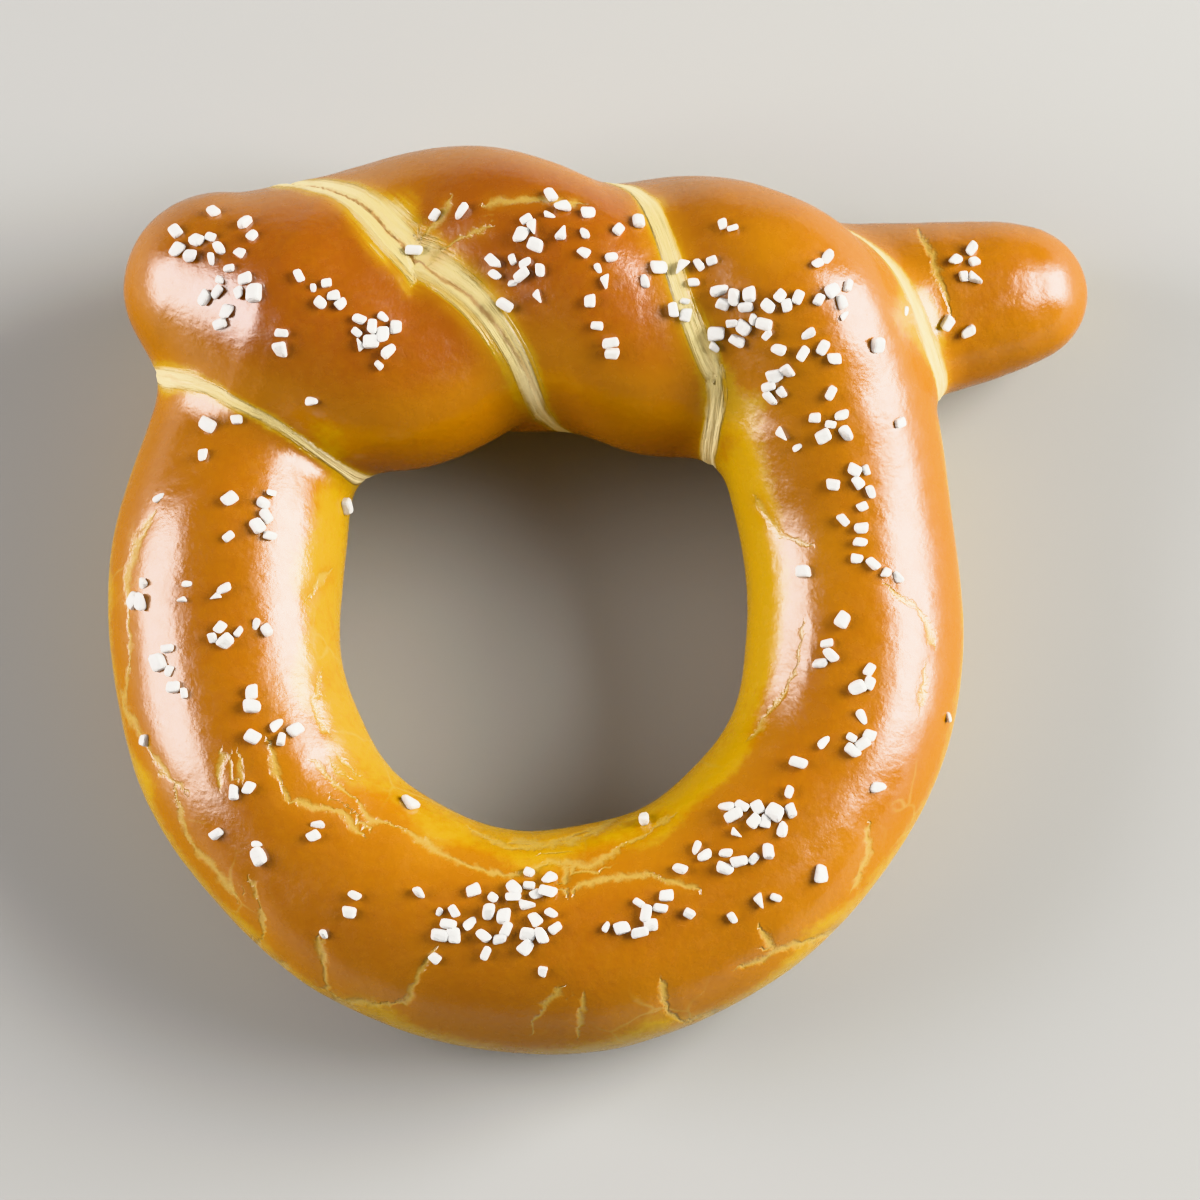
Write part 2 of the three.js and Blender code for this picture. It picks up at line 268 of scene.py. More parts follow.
def soft_lower(first, first_out, second, second_out, blend):
    """The lower of two heights, rounded where they are within the blend, and the direction out of it."""
    over = np.maximum(blend - np.abs(first - second), 0) / blend
    share = np.where(first < second, 1 - over / 2, over / 2)[:, None]
    return np.minimum(first, second) - over**2 * blend / 4, first_out * share + second_out * (1 - share)


def skin(points, blend, lumps):
    """Height out of the dough's skin and the direction out of it, with the strands' own measures."""
    right, right_out, right_along = strand_distance(points, RIGHT_STRAND)
    left, left_out, _ = strand_distance(points, LEFT_STRAND)
    height, out = soft_lower(right, right_out, left, left_out, blend)
    inside, out = soft_lower(lumps - height, out, points[:, 2], np.array([0, 0, -1.0]), FOOT_BLEND)
    return -inside, out, right - left, np.linalg.norm(right_out - left_out, axis=1), right_along


# The roll is drawn as a thick curve with round ends and skinned over with even faces, and each
# point is then drawn onto the dough's skin.
VOXEL = 0.74
SKIN_TURNS = 6
WIDTH_TURNS = (0, 3)
JOINED_FROM = (2, 9)
LEAST_SLOPE = 0.2
curve = bpy.data.curves.new("rope_of_dough", "CURVE")
curve.dimensions = "3D"
curve.bevel_depth = 1
curve.bevel_resolution = 12
curve.use_fill_caps = True
spline = curve.splines.new("POLY")
drawn = slice(0, len(middle), 2)
spline.points.add(len(middle[drawn]) - 1)
spline.points.foreach_set("co", np.hstack([middle[drawn], np.ones((len(middle[drawn]), 1))]).ravel())
spline.points.foreach_set("radius", radius[drawn])
roll = bpy.data.objects.new("rope_of_dough", curve)
bpy.context.scene.collection.objects.link(roll)
bpy.context.view_layer.update()
form = bmesh.new()
form.from_mesh(roll.evaluated_get(bpy.context.evaluated_depsgraph_get()).to_mesh())
for end in (0, -1):
    place_end = Matrix.Translation(Vector(middle[end]))
    bmesh.ops.create_uvsphere(form, u_segments=48, v_segments=24, radius=radius[end], matrix=place_end)
mesh = bpy.data.meshes.new("crust")
form.to_mesh(mesh)
form.free()
bpy.data.objects.remove(roll)
crust = bpy.data.objects.new("crust", mesh)
bpy.context.scene.collection.objects.link(crust)
remesh = crust.modifiers.new("even_faces", "REMESH")
remesh.mode = "VOXEL"
remesh.voxel_size = VOXEL
bpy.context.view_layer.update()
crust.data = bpy.data.meshes.new_from_object(crust.evaluated_get(bpy.context.evaluated_depsgraph_get()))
crust.modifiers.clear()
crust.data.name = "crust"


def crust_rows(name):
    """One vector for each point of the crust: its place or its normal."""
    rows = np.empty(len(crust.data.vertices) * 3)
    crust.data.vertices.foreach_get(name, rows)
    return rows.reshape(-1, 3)


def put_crust(points):
    """Moves the crust's points to new places."""
    crust.data.vertices.foreach_set("co", points.ravel())
    crust.data.update()


points = crust_rows("co")
lumps = unevenness(points)
for turn in range(SKIN_TURNS):
    if turn in WIDTH_TURNS:
        width = seam_width(points)
        joined = smoothstep(*JOINED_FROM, points[:, 1])
        blend = np.maximum((LEAST_BLEND + BLEND_OF_WIDTH * width) * joined, NO_BLEND)
    height, out, lead, spread, strand_along = skin(points, blend, lumps)
    points = points - out * (height / np.maximum((out**2).sum(1), LEAST_SLOPE))[:, None]
put_crust(points)
outward = crust_rows("normal")

# While it swelled in the oven the skin tore along its foot and stretched open in fine pale lines.
# The marks are lines listed in the photograph's pixels, sunk a little into the dough.
STRETCH_MARKS = {
    "foot_left": [
        (436, 818), (429, 828), (425, 851), (427, 874), (424, 897), (433, 915), (446, 933), (451, 953),
        (471, 979),
    ],
    "foot_left_tick": [(440, 927), (449, 933)],
    "foot_low_left": [(460, 982), (468, 992), (480, 1005), (493, 1010)],
    "rib_low_left": [(479, 974), (483, 984), (484, 997), (479, 1003)],
    "left_fork": [(508, 999), (510, 1017), (517, 1025), (545, 1025), (550, 1012), (556, 1004)],
    "left_fork_foot": [(515, 1027), (518, 1034), (533, 1035)],
    "low_crack_a": [(610, 1020), (603, 1027), (599, 1035)],
    "low_crack_b": [(620, 1024), (618, 1037)],
    "low_right": [(654, 1017), (656, 1029), (662, 1033), (676, 1030), (688, 1033)],
    "foot_right": [(688, 1009), (697, 1006), (706, 1001), (716, 999), (727, 994)],
    "foot_right_tick": [(697, 994), (700, 1000)],
    "right_edge": [(742, 951), (741, 964), (736, 974)],
    "right_arm": [(751, 848), (766, 861), (769, 870)],
    "right_arm_low": [(766, 882), (764, 898)],
    "inner_low_a": [(590, 955), (608, 957), (623, 953), (636, 943), (651, 933), (664, 923)],
    "inner_low_b": [(605, 964), (623, 966), (641, 956), (656, 946)],
    "inner_low_c": [(613, 976), (631, 971), (649, 970), (667, 976)],
    "inner_low_tick": [(613, 967), (614, 976)],
    "inner_left_a": [(507, 923), (522, 938), (530, 946), (545, 951), (563, 963), (589, 971), (604, 966)],
    "inner_left_b": [(499, 939), (517, 943), (525, 951)],
    "inner_left_c": [(574, 951), (589, 958), (604, 957), (622, 951)],
    "inner_left_pool": [(508, 886), (505, 897), (511, 908)],
    "inner_left_top": [(511, 842), (504, 851)],
    "inner_left_patch": [(516, 919), (522, 925)],
    "inner_right": [(692, 910), (702, 897), (710, 884), (713, 866)],
    "inner_right_top": [(695, 812), (704, 826), (714, 829)],
    "streak_a": [(466, 920), (466, 930)],
    "streak_b": [(474, 920), (475, 927)],
    "streak_c": [(487, 915), (492, 933), (494, 938)],
    "ear_line": [(763, 698), (768, 707), (773, 722), (776, 730)],
    "top_line": [(580, 684), (600, 682), (618, 684)],
    "seam_finger_a": [(556, 708), (566, 700), (578, 695)],
    "seam_finger_b": [(551, 699), (559, 691), (562, 684)],
}
MARK_REACH = 1.12
MARK_DEPTH = 0.13
SHOWN_SLOPE = (-0.05, 0.15)
view = np.array([0, -math.sin(VIEW_TILT), math.cos(VIEW_TILT)])
shown = photo_place(points)
faces_view = smoothstep(*SHOWN_SLOPE, outward @ view)
mark_side, _, _ = nearest_line(shown, STRETCH_MARKS.values())
mark = np.exp(-((mark_side / MARK_REACH) ** 2)) * faces_view


def noise_rows(*columns):
    """The noise at the place that each row of the columns gives."""
    return np.array([noise.noise(Vector(spot)) for spot in np.stack(np.broadcast_arrays(*columns), 1)])


# The pale band has ragged edges, with golden crust just beside it.
LEAST_SPREAD = 0.15
RAGGED_LENGTH = 3.5
RAGGED_OFFSET = 5
RAGGED_SHARE = 0.5
BARE_FALL = 0.9
GOLDEN_RIM = 3.5
GOLDEN_FROM = 0.7
GOLDEN_RIM_WIDTH = (1.0, 2.6)
seam_gap = lead / np.maximum(spread, LEAST_SPREAD)
ragged = noise_rows(strand_along / RAGGED_LENGTH, np.copysign(RAGGED_OFFSET, seam_gap), 0)
half_band = width / 2 * (1 + RAGGED_SHARE * ragged)
bare = np.exp(-BARE_FALL * (seam_gap / half_band) ** 2) * joined
near_seam = smoothstep(half_band + GOLDEN_RIM, half_band * GOLDEN_FROM, np.abs(seam_gap))
near_seam *= joined * smoothstep(*GOLDEN_RIM_WIDTH, width)

# Torn dough in the widest seam lies in strands along it, with a split that wanders down the middle.
FIBRE_LENGTH = 9
FIBRE_WIDTH = 0.9
FIBRE_HEIGHT = 0.28
SPLIT_WANDERS = [(1.1, 6, 8, 1), (0.55, 3, 3, 5)]
SPLIT_SEAM_WIDTH = (2.0, 4.5)
SPLIT_HALF_WIDTH = 0.45
SPLIT_DEPTH = 0.5
CLEAR_OF_SHEET = (1.0, 3.0)
fibres = noise_rows(strand_along / FIBRE_LENGTH, seam_gap / FIBRE_WIDTH, 3)
split_gap = seam_gap.copy()
for reach, length, second, third in SPLIT_WANDERS:
    split_gap += reach * noise_rows(strand_along / length, second, third)
split_share = smoothstep(*SPLIT_SEAM_WIDTH, width) * bare
split = np.exp(-((split_gap / SPLIT_HALF_WIDTH) ** 2)) * split_share
relief = bare * FIBRE_HEIGHT * fibres - SPLIT_DEPTH * split - MARK_DEPTH * mark
relief *= smoothstep(*CLEAR_OF_SHEET, points[:, 2])
points = points + outward * relief[:, None]
points[:, 2] = np.maximum(points[:, 2], 0)

# The finished crust is set in the middle of the CAD's box.
box_low, box_high = (np.array(corner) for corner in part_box("pretzel"))
ring_middle = (box_low + box_high) / 2 / MM - (points.min(0) + points.max(0)) / 2
ring_middle[2] = 0
put_crust((points + ring_middle) * MM)
crust.data.polygons.foreach_set("use_smooth", np.ones(len(crust.data.polygons), bool))

# The oven's heat came from above and from outside the ring, so the top and the outer flanks are
# brown, the inner flanks golden, and the raised twist the brownest.
OUTER_HEAT = 0.28
HOT = (0.25, 0.95)
TOP_BROWNING = 0.6
RAISED_BROWNING = 0.3
RAISED_HEIGHT = (24, 32)
RAISED_LEFT_OF = (26, 10)
RAISED_HEAT = (0, 0.7)
TWIST_BROWNING = 0.44
TWIST_BEHIND = (24, 30)
TWIST_MIDDLE_BEHIND = (16, 20)
TWIST_MIDDLE_WITHIN = (28, 20)
TWIST_SLOPE = (-0.4, 0.1)
SEAM_GOLD = 0.75
from_middle = points[:, :2] / np.maximum(np.linalg.norm(points[:, :2], axis=1), 1)[:, None]
heat = (outward[:, 2] + OUTER_HEAT * (outward[:, :2] * from_middle).sum(1)) / math.hypot(1, OUTER_HEAT)
raised = smoothstep(*RAISED_HEIGHT, points[:, 2]) * smoothstep(*RAISED_LEFT_OF, points[:, 0])
twist_middle = smoothstep(*TWIST_MIDDLE_BEHIND, points[:, 1])
twist_middle *= smoothstep(*TWIST_MIDDLE_WITHIN, np.abs(points[:, 0]))
twisted = np.maximum(twist_middle, smoothstep(*TWIST_BEHIND, points[:, 1]))
twisted *= smoothstep(*TWIST_SLOPE, outward[:, 2])
browning = TOP_BROWNING * smoothstep(*HOT, heat) + RAISED_BROWNING * raised * smoothstep(*RAISED_HEAT, heat)
browning = np.maximum(browning, TWIST_BROWNING * twisted)
browning *= 1 - SEAM_GOLD * near_seam

# Spots made less brown, so more golden and lighter: partly golden crust, partly painted light on
# flanks that lie in shade, as on the twist's near flank. Each gives its middle in the photograph's
# pixels, its reach in pixels and its strength.
GOLD_AND_PAINTED_LIGHT_PATCHES = [
    (762, 732, 13, 0.45), (508, 842, 12, 0.35), (506, 888, 15, 0.5), (520, 925, 13, 0.4),
    (555, 955, 13, 0.3), (600, 963, 17, 0.4), (648, 951, 17, 0.4), (674, 918, 16, 0.4),
    (690, 872, 15, 0.3), (690, 820, 13, 0.25), (427, 850, 9, 0.3), (436, 930, 11, 0.25),
    (472, 1002, 14, 0.25), (530, 1030, 13, 0.25), (650, 1032, 17, 0.3), (722, 995, 15, 0.3),
    (684, 800, 10, 0.2), (700, 702, 11, 0.25), (735, 960, 12, 0.2), (722, 828, 12, 0.25),
    (612, 745, 10, 0.15), (694, 848, 12, 0.2), (722, 850, 13, 0.15), (686, 765, 13, 0.15),
    (640, 773, 15, 0.2),
]
for x, y, reach, strength in GOLD_AND_PAINTED_LIGHT_PATCHES:
    away = np.linalg.norm(shown - from_pixels(x, y), axis=1) / (reach * PHOTO_MM)
    browning -= strength * np.exp(-(away**2)) * faces_view
browning = np.clip(browning, 0, 1)

# What the crust's material reads at each point: the flat underside, the flanks that tore in hairs,
# how glossy the crust is on slopes, and painted light that makes the bare dough a lighter cream on
# the low flanks, where they lie in shade.
TOUCHES_SHEET = (1.0, 0.3)
FACES_DOWN = (-0.8, -0.97)
LOW_FLANK = (0.9, 0.45)
LOW_FLANK_FOOT = (-0.3, 0.1)
HAIRS_BEFORE = (16, 2)
PAINTED_LIGHT_SLOPE = (0.88, 0.45)
GLOSSY_SLOPE = (0.3, 0.68)
NEAR_LINE = 9
NEAR_SEAM = 30
underside = smoothstep(*TOUCHES_SHEET, points[:, 2]) * smoothstep(*FACES_DOWN, outward[:, 2])
low_flank = smoothstep(*LOW_FLANK, outward[:, 2]) * smoothstep(*LOW_FLANK_FOOT, outward[:, 2])
read_by_material = {
    "browning": browning,
    "bare": bare,
    "mark": mark,
    "mark_side": np.clip(mark_side, -NEAR_LINE, NEAR_LINE),
    "seam_gap": np.clip(seam_gap, -NEAR_SEAM, NEAR_SEAM),
    "split_gap": np.clip(split_gap, -NEAR_LINE, NEAR_LINE),
    "split_share": split_share,
    "painted_light": smoothstep(*PAINTED_LIGHT_SLOPE, outward[:, 2]),
    "shine": smoothstep(*GLOSSY_SLOPE, outward[:, 2]),
    "seam_along": strand_along,
    "underside": underside,
    "hairs": low_flank * smoothstep(*HAIRS_BEFORE, points[:, 1]) * (1 - underside),
}
for name, values in read_by_material.items():
    crust.data.attributes.new(name, "FLOAT", "POINT").data.foreach_set("value", values.astype(np.float32))


# Baked crust: thin, glossy and brown where it faced the oven's top, golden on its flanks, pale and
# dull where it tore open, with fine pits and wrinkles all over.
def srgb(red, green, blue):
    """A colour picked as 0 to 255 screen values, as the renderer's linear light."""
    def linear(value):
        value /= 255
        return value / 12.92 if value <= 0.04045 else ((value + 0.055) / 1.055) ** 2.4
    return linear(red), linear(green), linear(blue), 1


LIGHT_ON_CRUST = 2.1


def crust_colour(red, green, blue):
    """A colour of the crust as the photograph shows it, less the strong light that falls on it."""
    return tuple(value / LIGHT_ON_CRUST for value in srgb(red, green, blue)[:3]) + (1,)


BROWN = crust_colour(190, 101, 1)
AMBER = crust_colour(214, 132, 1)
GOLD = crust_colour(226, 146, 2)
YELLOW = crust_colour(248, 194, 36)
CREAM = srgb(212, 192, 126)
# Bare dough on the low flanks is painted this lighter cream, as painted light against their shade.
PAINTED_LIGHT_CREAM = srgb(244, 228, 176)
MARK_PALE = crust_colour(250, 214, 110)
UNDERSIDE = crust_colour(206, 150, 84)


class Shader:
    """A short way to add nodes to one material."""

    def __init__(self, name):
        self.material = bpy.data.materials.new(name)
        self.material.use_nodes = True
        self.tree = self.material.node_tree
        self.tree.nodes.clear()
        self.principled = self.add("ShaderNodeBsdfPrincipled")
        output = self.add("ShaderNodeOutputMaterial")
        self.tree.links.new(self.principled.outputs[0], output.inputs["Surface"])

    def add(self, kind, **settings):
        node = self.tree.nodes.new(kind)
        for key, value in settings.items():
            setattr(node, key, value)
        return node

    def put(self, socket, value):
        """Sets a socket to a value, or links an output to it."""
        if isinstance(value, bpy.types.NodeSocket):
            self.tree.links.new(value, socket)
        else:
            socket.default_value = value

    def set(self, **values):
        """Sets the material's own sockets, named in plain words with low lines."""
        for name, value in values.items():
            self.put(self.principled.inputs[name.replace("_", " ")], value)

    def attribute(self, name):
        return self.add("ShaderNodeAttribute", attribute_name=name).outputs["Fac"]

    def math(self, operation, *values, clamp=False):
        node = self.add("ShaderNodeMath", operation=operation, use_clamp=clamp)
        for socket, value in zip(node.inputs, values):
            self.put(socket, value)
        return node.outputs[0]

    def times(self, first, second):
        return self.math("MULTIPLY", first, second)

    def swing(self, value, reach):
        """A value from 0 to 1 spread evenly to either side of nothing."""
        return self.math("MULTIPLY_ADD", value, 2 * reach, -reach)

    def place(self):
        return self.add("ShaderNodeTexCoord").outputs["Object"]

    def noise(self, scale, detail=3, roughness=0.5, vector=None, distortion=0):
        node = self.add("ShaderNodeTexNoise")
        self.put(node.inputs["Scale"], scale)
        self.put(node.inputs["Detail"], detail)
        self.put(node.inputs["Roughness"], roughness)
        self.put(node.inputs["Distortion"], distortion)
        self.put(node.inputs["Vector"], vector or self.place())
        return node.outputs["Fac"]

    def warped(self, scale, reach):
        """The place on the piece, shifted by a noise of so many metres."""
        shift = self.add("ShaderNodeTexNoise")
        self.put(shift.inputs["Scale"], scale)
        self.put(shift.inputs["Vector"], self.place())
        moved = self.add("ShaderNodeVectorMath", operation="MULTIPLY_ADD")
        self.put(moved.inputs[0], shift.outputs["Color"])
        self.put(moved.inputs[1], (reach, reach, reach))
        self.put(moved.inputs[2], self.place())
        return moved.outputs[0]

    def mix(self, share, first, second):
        node = self.add("ShaderNodeMix", data_type="RGBA")
        self.put(node.inputs[0], share)
        self.put(node.inputs[6], first)
        self.put(node.inputs[7], second)
        return node.outputs[2]

    def span(self, value, low, high, to_low=0.0, to_high=1.0):
        """A soft change from one value at low to another at high."""
        node = self.add("ShaderNodeMapRange", interpolation_type="SMOOTHSTEP")
        for socket, given in zip(node.inputs, (value, low, high, to_low, to_high)):
            self.put(socket, given)
        return node.outputs[0]

    def ramp(self, share, stops):
        """Colours at places from 0 to 1, blended between them."""
        node = self.add("ShaderNodeValToRGB")
        self.put(node.inputs[0], share)
        while len(node.color_ramp.elements) < len(stops):
            node.color_ramp.elements.new(0.5)
        for element, (position, colour) in zip(node.color_ramp.elements, stops):
            element.position = position
            element.color = colour
        return node.outputs[0]

    def bump(self, height, depth, normal=None):
        node = self.add("ShaderNodeBump")
        self.put(node.inputs["Strength"], 1.0)
        self.put(node.inputs["Distance"], depth)
        self.put(node.inputs["Height"], height)
        if normal:
            self.put(node.inputs["Normal"], normal)
        return node.outputs[0]


def browned_crust(look):
    """The crust's colour from yellow to brown, blotched and specked as it blistered."""
    blotches = look.swing(look.noise(scale=70, detail=4, roughness=0.55), 0.2)
    specks = look.swing(look.noise(scale=900, detail=2, roughness=0.6), 0.13)
    brown = look.math("ADD", look.attribute("browning"), blotches)
    brown = look.math("ADD", brown, specks, clamp=True)
    return look.ramp(brown, ((0.0, YELLOW), (0.2, GOLD), (0.55, AMBER), (0.95, BROWN)))


def torn_dough(look, colour):
    """Cream dough with frayed fibres in the seams, brown down its split: colour, fibres and share bare."""
    bare = look.attribute("bare")
    lay = look.add("ShaderNodeCombineXYZ")
    look.put(lay.inputs[0], look.times(look.attribute("seam_along"), 0.12))
    look.put(lay.inputs[1], look.times(look.attribute("seam_gap"), 1.5))
    fibres = look.noise(scale=1.0, detail=4, roughness=0.6, vector=lay.outputs[0], distortion=0.3)
    frayed = look.times(look.swing(fibres, 0.45), look.span(bare, 0.0, 0.3))
    torn = look.math("ADD", bare, frayed)
    colour = look.mix(look.span(torn, 0.02, 0.42), colour, YELLOW)
    torn = look.span(torn, 0.3, 0.8)
    # On the low flanks the bare dough turns a lighter cream: painted light against the shade there.
    colour = look.mix(torn, colour, look.mix(look.attribute("painted_light"), CREAM, PAINTED_LIGHT_CREAM))
    crooked = look.swing(look.noise(scale=700, detail=3, roughness=0.6), 0.45)
    off_split = look.math("ABSOLUTE", look.math("ADD", look.attribute("split_gap"), crooked))
    split = look.times(look.span(off_split, 0.42, 0.05), look.attribute("split_share"))
    return look.mix(look.times(split, 0.75), colour, AMBER), fibres, torn


def stretch_marks(look, colour):
    """Pale wavering lines with a golden rim where the skin stretched open: colour and the lines."""
    mark = look.attribute("mark")
    wobble = look.swing(look.noise(scale=330, detail=4, roughness=0.65), 1.3)
    line_gap = look.math("ABSOLUTE", look.math("ADD", look.attribute("mark_side"), wobble))
    thickness = look.noise(scale=170, detail=3, roughness=0.6)
    line_width = look.span(thickness, 0.34, 0.6, to_low=0.2, to_high=0.85)
    line = look.times(look.span(line_gap, line_width, 0.0), look.span(mark, 0.1, 0.5))
    colour = look.mix(look.times(mark, 0.45), colour, GOLD)
    return look.mix(look.times(line, 0.7), colour, MARK_PALE), line


def hair_cracks(look, colour):
    """A net of fine pale cracks in patches of the low flanks."""
    crackle = look.add("ShaderNodeTexVoronoi", feature="DISTANCE_TO_EDGE")
    look.put(crackle.inputs["Scale"], 105)
    look.put(crackle.inputs["Vector"], look.warped(scale=90, reach=0.012))
    hair = look.times(look.span(crackle.outputs["Distance"], 0.035, 0.0), look.attribute("hairs"))
    hair = look.times(hair, look.span(look.noise(scale=60, detail=2), 0.45, 0.62))
    return look.mix(look.times(hair, 0.55), colour, MARK_PALE)


def crust_material():
    look = Shader("baked_crust")
    colour, fibres, torn = torn_dough(look, browned_crust(look))
    colour, line = stretch_marks(look, colour)
    colour = hair_cracks(look, colour)
    underside = look.attribute("underside")
    mottling = look.span(look.noise(scale=160, detail=4, roughness=0.6), 0.3, 0.75, to_low=0.0, to_high=0.6)
    colour = look.mix(underside, colour, look.mix(mottling, UNDERSIDE, AMBER))

    dull = look.math("MAXIMUM", torn, underside)
    pores = look.noise(scale=420, detail=3, roughness=0.6)
    rough = look.span(pores, 0.3, 0.7, to_low=0.2, to_high=0.31)
    shine = look.attribute("shine")
    wet_look = look.times(shine, look.math("SUBTRACT", 1.0, dull))

    wrinkles = look.bump(look.noise(scale=1100, detail=3, roughness=0.6), depth=0.00006)
    pits = look.bump(look.noise(scale=300, detail=3, roughness=0.5), depth=0.00011, normal=wrinkles)
    threads = look.bump(look.times(fibres, torn), depth=0.0007, normal=pits)
    look.set(
        Base_Color=colour,
        Roughness=look.math("ADD", rough, look.times(dull, 0.28)),
        Coat_Weight=look.times(wet_look, 0.25),
        Coat_Roughness=0.15,
        Specular_IOR_Level=look.math("MULTIPLY_ADD", shine, 0.65, 0.35),
        Normal=look.bump(look.times(line, -1.0), depth=0.0001, normal=threads),
    )
    return look.material


crust.data.materials.append(crust_material())
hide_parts("pretzel")
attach(crust, "root")

# Coarse salt
# White crystals of rock salt, 1.5 to 2.5 mm long with worn corners, shaken over the wet dough and
# baked fast where they fell, a little sunk. Each row is a cluster as the photograph shows it: its
# middle, its spread in pixels and its number of grains.
GRAIN_SIZE = (1.6, 2.8)
GRAIN_BREADTH = (0.55, 0.85)
GRAIN_THICKNESS = (0.5, 0.75)
GRAIN_HALF_HEIGHT = 0.35
GRAIN_SUNK = 0.2
GRAIN_TIP = 0.3
GRAIN_SPACING = 1.5
CORNER_SHIFT = (0.62, 1.0)
CORNERS_KEPT = (6, 9)
NEARLY_FLAT = 0.12
WORN_EDGE = 0.14
STEEPEST_HOLD = 0.25
CLUSTER_REACH = 1.2
FALLS_PER_GRAIN = 8
GRAIN_SHAPES = 16
SALT_SEED = 4
SALT_CLUSTERS = {
    "left ear": [
        (474, 707, 11, 9), (471, 727, 7, 3), (446, 705, 8, 4), (460, 723, 3, 2), (462, 688, 1, 1),
        (481, 720, 2, 1), (489, 741, 4, 2), (500, 715, 1, 1), (511, 724, 6, 5), (531, 741, 9, 10),
        (504, 768, 1, 1),
    ],
    "middle of the twist": [
        (559, 684, 7, 2), (549, 705, 1, 1), (597, 696, 8, 3), (611, 690, 9, 7), (594, 716, 9, 9),
        (627, 710, 5, 3), (630, 724, 6, 2), (631, 741, 7, 3), (640, 694, 6, 2), (651, 712, 4, 2),
    ],
    "right of the twist": [
        (671, 713, 8, 5), (662, 727, 4, 3), (674, 742, 3, 1), (683, 694, 4, 2), (690, 730, 9, 12),
        (706, 724, 5, 4), (719, 708, 4, 2), (726, 724, 5, 5), (711, 747, 6, 4), (726, 749, 4, 2),
        (701, 763, 5, 4), (726, 765, 1, 1), (707, 782, 4, 2), (723, 781, 7, 5), (745, 745, 1, 1),
        (755, 778, 1, 1), (758, 731, 1, 1),
    ],
    "right ear": [(781, 711, 6, 5), (777, 736, 4, 2)],
    "right arm": [
        (737, 805, 8, 6), (735, 828, 7, 4), (748, 841, 4, 3), (714, 841, 1, 1), (731, 862, 1, 1),
        (726, 875, 5, 3), (736, 888, 6, 3), (734, 910, 9, 6), (712, 923, 1, 1), (746, 933, 1, 1),
        (774, 903, 1, 1),
    ],
    "near side": [
        (704, 942, 7, 6), (688, 945, 7, 5), (666, 961, 6, 3), (685, 963, 6, 4), (699, 960, 1, 1),
        (692, 982, 8, 3), (721, 970, 1, 1), (647, 947, 1, 1), (653, 986, 8, 7), (632, 992, 5, 2),
        (600, 978, 7, 9), (604, 992, 6, 5), (584, 990, 9, 8), (566, 995, 7, 6), (574, 976, 1, 1),
        (602, 1011, 1, 1), (596, 1001, 1, 1), (550, 977, 1, 1), (523, 981, 5, 2), (510, 994, 1, 1),
        (507, 952, 4, 2), (482, 960, 4, 2), (465, 951, 1, 1), (545, 941, 1, 1),
    ],
    "left arm": [
        (474, 933, 6, 2), (478, 903, 9, 5), (498, 909, 1, 1), (434, 911, 1, 1), (454, 893, 8, 2),
        (440, 878, 5, 3), (466, 867, 5, 5), (486, 867, 10, 2), (468, 850, 5, 2), (450, 851, 5, 2),
        (431, 850, 4, 3), (468, 827, 1, 1), (481, 816, 8, 5), (440, 809, 1, 1), (462, 795, 12, 4),
        (518, 813, 1, 1), (535, 805, 5, 2), (545, 795, 1, 1),
    ],
}
draw = np.random.default_rng(SALT_SEED)


def grain_shape():
    """One crystal about a unit long: a box with shifted corners, some lost, and all edges worn."""
    crystal = bmesh.new()
    corners = np.array([(x, y, z) for x in (-1, 1) for y in (-1, 1) for z in (-1, 1)], float) / 2
    corners *= (1, draw.uniform(*GRAIN_BREADTH), draw.uniform(*GRAIN_THICKNESS))
    corners *= draw.uniform(*CORNER_SHIFT, corners.shape)
    kept = draw.permutation(len(corners))[: draw.integers(*CORNERS_KEPT)]
    for corner in corners[kept]:
        crystal.verts.new(corner)
    bmesh.ops.convex_hull(crystal, input=crystal.verts)
    bmesh.ops.dissolve_limit(crystal, angle_limit=NEARLY_FLAT, verts=crystal.verts, edges=crystal.edges)
    bmesh.ops.bevel(
        crystal,
        geom=crystal.edges,
        offset=WORN_EDGE,
        segments=2,
        profile=0.5,
        affect="EDGES",
        clamp_overlap=True,
    )
    bmesh.ops.triangulate(crystal, faces=crystal.faces)
    crystal.verts.index_update()
    shape = (
        np.array([v.co for v in crystal.verts]),
        np.array([[v.index for v in f.verts] for f in crystal.faces]),
    )
    crystal.free()
    return shape


shapes = [grain_shape() for _ in range(GRAIN_SHAPES)]
tree = BVHTree.FromPolygons(points.tolist(), [tuple(p.vertices) for p in crust.data.polygons])
eye = Vector((0, 0, VIEW_PLANE)) + VIEW_DISTANCE * Vector(view)
shown_up = Vector((0, math.cos(VIEW_TILT), math.sin(VIEW_TILT)))


def fall(x, y, reach):
    """Where a grain thrown about a pixel of the photograph lands: the place and the crust's normal."""
    three_throws = draw.uniform(0, 1, (3, 2)).sum(0) - 1.5
    shift_x, shift_y = CLUSTER_REACH * reach * three_throws
    right_of, up_of = from_pixels(x + shift_x, y + shift_y).tolist()
    spot = Vector((right_of, 0, VIEW_PLANE)) + up_of * shown_up
    hit, normal, _, _ = tree.ray_cast(eye, (spot - eye).normalized())
    return hit, normal


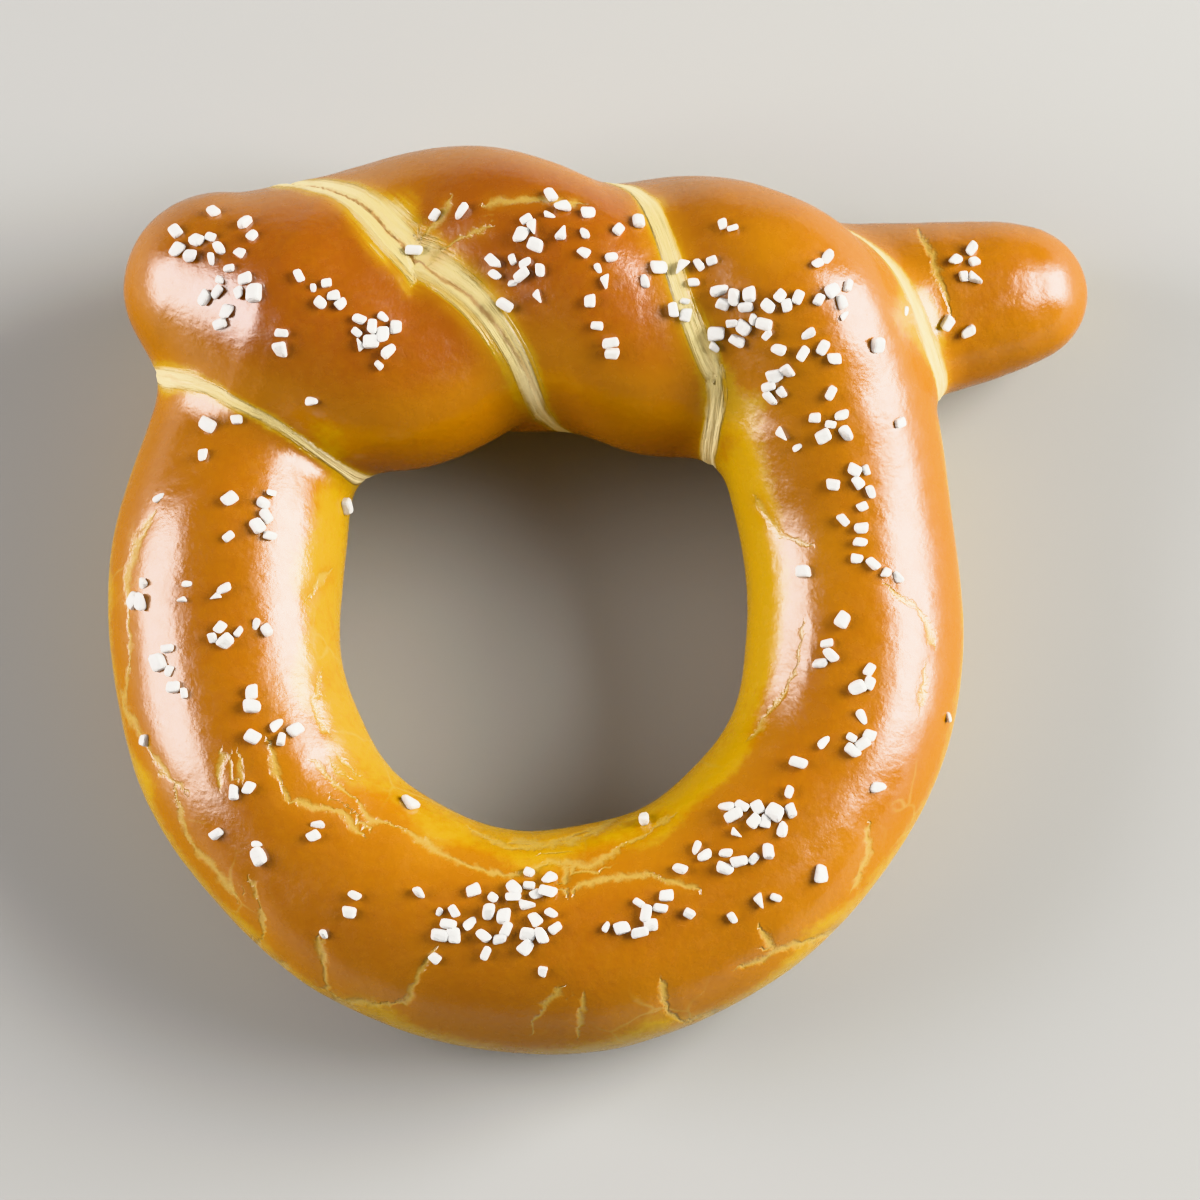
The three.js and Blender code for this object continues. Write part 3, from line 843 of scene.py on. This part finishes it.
grain_points, grain_faces, taken = [], [], []
for x, y, reach, wanted in [row for part in SALT_CLUSTERS.values() for row in part]:
    placed = 0
    for _ in range(FALLS_PER_GRAIN * wanted):
        if placed == wanted:
            break
        hit, normal = fall(x, y, reach)
        if hit is None or normal.z < STEEPEST_HOLD:
            continue
        if taken and np.linalg.norm(np.array(taken) - np.array(hit), axis=1).min() < GRAIN_SPACING:
            continue
        taken.append(np.array(hit))
        placed += 1
        size = draw.uniform(*GRAIN_SIZE)
        verts, faces = shapes[draw.integers(GRAIN_SHAPES)]
        turned = Matrix.Rotation(draw.uniform(0, 2 * math.pi), 3, "Z")
        tipped = Matrix.Rotation(draw.normal(0, GRAIN_TIP), 3, "X")
        onto = Vector((0, 0, 1)).rotation_difference(normal).to_matrix()
        turn = np.array(onto @ tipped @ turned)
        lift = size * (GRAIN_HALF_HEIGHT - GRAIN_SUNK)
        grain_faces.append(faces + sum(len(grain) for grain in grain_points))
        grain_points.append((verts * size) @ turn.T + np.array(hit + normal * lift))
salt_mesh = bpy.data.meshes.new("salt")
salt_mesh.from_pydata((np.vstack(grain_points) + ring_middle) * MM, [], np.vstack(grain_faces).tolist())
salt = bpy.data.objects.new("salt", salt_mesh)
bpy.context.scene.collection.objects.link(salt)
SALT_WHITE = (0.7, 0.69, 0.67, 1)


def salt_material():
    look = Shader("rock_salt")
    look.set(
        Base_Color=SALT_WHITE,
        Roughness=look.span(look.noise(scale=900, detail=2), 0.3, 0.7, to_low=0.3, to_high=0.5),
        Subsurface_Weight=0.35,
        Subsurface_Radius=(1, 1, 1),
        Subsurface_Scale=0.0008,
        Normal=look.bump(look.noise(scale=1500, detail=2), depth=0.0001),
    )
    return look.material


salt_mesh.materials.append(salt_material())
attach(salt, "root")

# Floor, light and camera
# A plain pale floor in strong, soft studio light: a large soft panel on each side with a brighter
# one in its middle, whose broad reflections run along the crust as in the photograph.
FLOOR_SIZE = 4.0
FLOOR_COLOUR = (0.33, 0.325, 0.315, 1)
floor_mesh = bpy.data.meshes.new("floor")
corner = FLOOR_SIZE / 2
floor_mesh.from_pydata(
    [(-corner, -corner, 0), (corner, -corner, 0), (corner, corner, 0), (-corner, corner, 0)],
    [],
    [(0, 1, 2, 3)],
)
floor = bpy.data.objects.new("floor", floor_mesh)
bpy.context.scene.collection.objects.link(floor)
floor_look = Shader("pale_floor")
floor_look.set(Base_Color=FLOOR_COLOUR, Roughness=0.85)
floor_mesh.materials.append(floor_look.material)

# Each panel has its degrees off straight above, the way it stands in, its size, power and colour.
LIGHTS = {
    "left_wide": (72, 177, (1.0, 1.1), 16, (1.0, 0.96, 0.94)),
    "left_core": (68, 176, (0.7, 0.7), 12, (1.0, 0.97, 0.95)),
    "right_wide": (70, 12, (1.0, 1.1), 24, (1.0, 1.0, 0.97)),
    "right_core": (65, 13, (0.8, 0.75), 31, (1.0, 1.0, 0.97)),
}
PANEL_DISTANCE = 1.2
for name, (off_top, towards, size, watts, colour) in LIGHTS.items():
    lamp = bpy.data.lights.new(name, "AREA")
    lamp.shape = "RECTANGLE"
    lamp.size, lamp.size_y = size
    lamp.energy = watts
    lamp.color = colour
    panel = bpy.data.objects.new(name, lamp)
    bpy.context.scene.collection.objects.link(panel)
    off_top, towards = math.radians(off_top), math.radians(towards)
    sideways = math.sin(off_top)
    way = Vector((sideways * math.cos(towards), sideways * math.sin(towards), math.cos(off_top)))
    panel.location = way * PANEL_DISTANCE
    panel.rotation_euler = way.to_track_quat("Z", "Y").to_euler()

ROOM_COLOUR = (0.95, 0.97, 1.0, 1)
ROOM_STRENGTH = 0.28
world = bpy.data.worlds.new("studio")
world.use_nodes = True
world.node_tree.nodes["Background"].inputs["Color"].default_value = ROOM_COLOUR
world.node_tree.nodes["Background"].inputs["Strength"].default_value = ROOM_STRENGTH
bpy.context.scene.world = world
bpy.context.scene.view_settings.view_transform = "Khronos PBR Neutral"

# The camera looks from the photograph's angle through a long lens.
FIELD_WIDTH = 0.156
SENSOR_WIDTH = 36
camera_data = bpy.data.cameras.new("camera")
camera_data.sensor_width = SENSOR_WIDTH
camera_data.lens = SENSOR_WIDTH * VIEW_DISTANCE * MM / FIELD_WIDTH
camera = bpy.data.objects.new("camera", camera_data)
bpy.context.scene.collection.objects.link(camera)
target = Vector((0, 0, VIEW_PLANE * MM))
camera.location = target + Vector(view) * VIEW_DISTANCE * MM
camera.rotation_euler = Vector(view).to_track_quat("Z", "Y").to_euler()
bpy.context.scene.camera = camera
